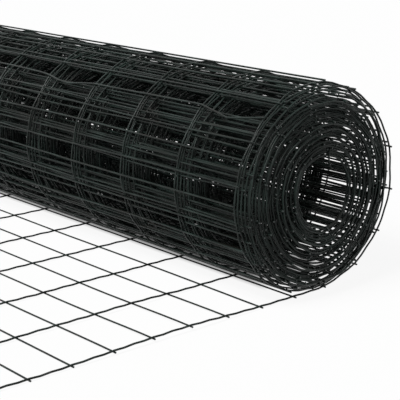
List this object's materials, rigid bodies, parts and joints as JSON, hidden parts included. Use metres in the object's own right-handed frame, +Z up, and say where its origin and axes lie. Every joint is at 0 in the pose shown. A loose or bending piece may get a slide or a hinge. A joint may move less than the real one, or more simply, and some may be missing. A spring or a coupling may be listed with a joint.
{
  "type": "roll of welded wire fencing",
  "caption": "Roll of coated welded wire fencing lying on its side, open through its bore, with its free end unrolled flat on the floor.",
  "frame": {"origin": "on the axis of the roll's bore, midway between the two edges of the outermost turn", "axes": "+X along the roll towards the end that its inner turns stand out of, -Y the way the free end is unrolled, +Z up"},
  "size_m": [1.0261, 0.5515, 0.2421],
  "materials": {
    "coated_wire": "satin"
  },
  "bodies": {
    "root": {"wound_roll": "coated_wire", "unrolled_mesh": "coated_wire"}
  },
  "joints": []
}
